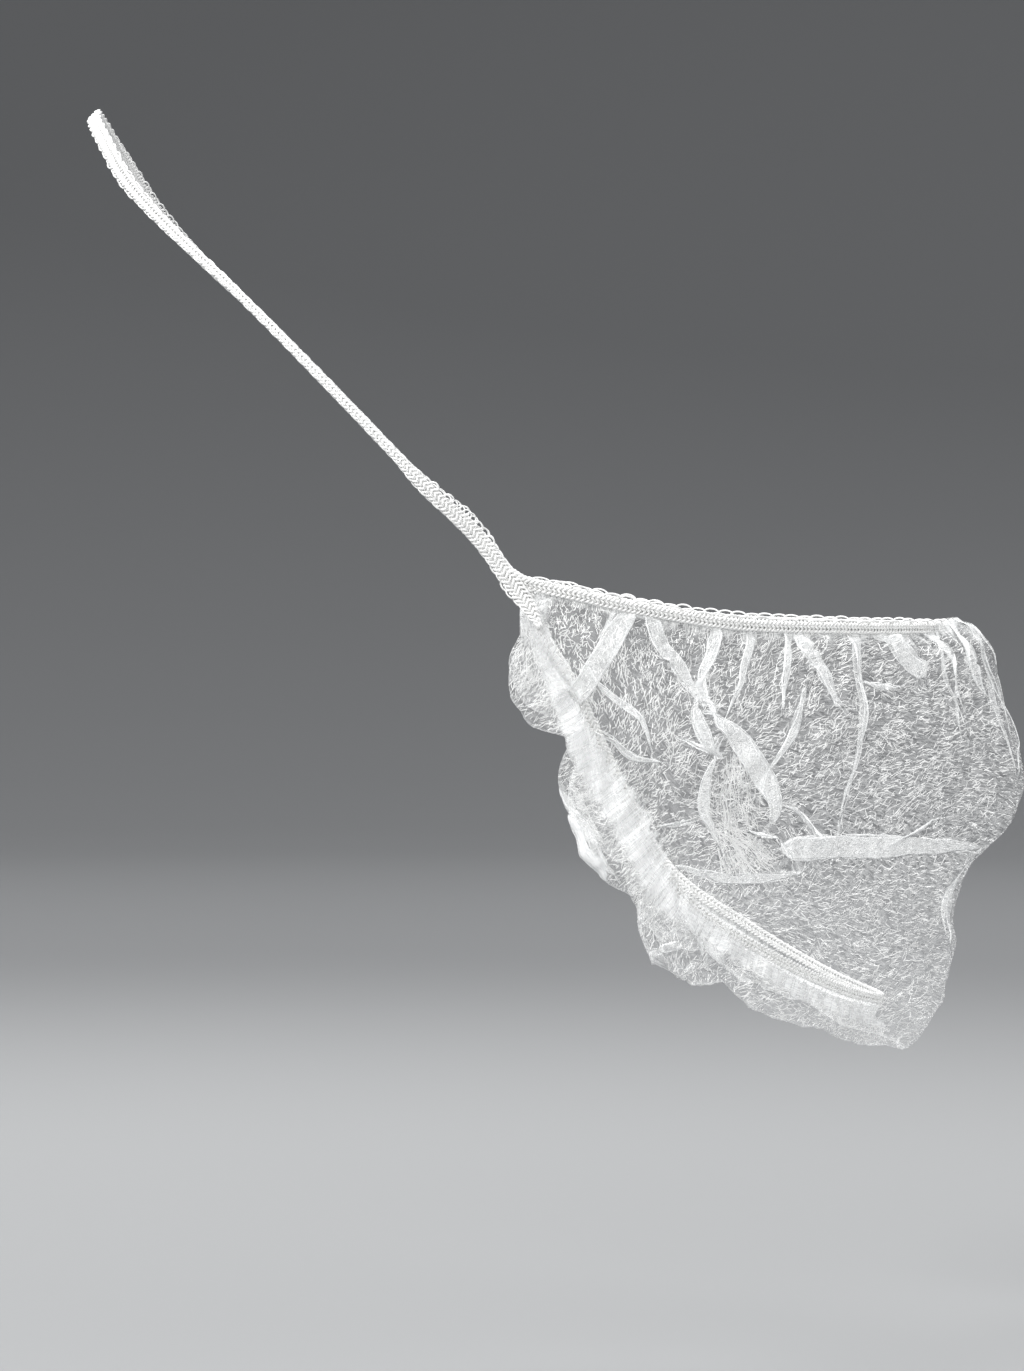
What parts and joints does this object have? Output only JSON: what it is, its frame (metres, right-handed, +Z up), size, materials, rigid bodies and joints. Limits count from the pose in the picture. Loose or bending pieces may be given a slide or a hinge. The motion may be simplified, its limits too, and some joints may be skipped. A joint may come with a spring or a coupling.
{
  "type": "disposable beard net",
  "caption": "Hollow white nonwoven pouch gathered between an upper and a lower knitted elastic, with a head elastic that holds it over the lower face.",
  "frame": {"origin": "where the head elastic bears on the back of the crown, in the wearer's middle plane", "axes": "+X to the wearer's front, +Y to the wearer's left, +Z up"},
  "size_m": [0.2103, 0.154, 0.2118],
  "materials": {
    "nonwoven": "thin spunbond fleece, matt and see-through",
    "elastic": "knitted elastic with picot loops, matt"
  },
  "bodies": {
    "root": {"net_pouch": "nonwoven", "upper_elastic": "elastic", "lower_elastic": "elastic", "head_elastic": "elastic"}
  },
  "joints": []
}
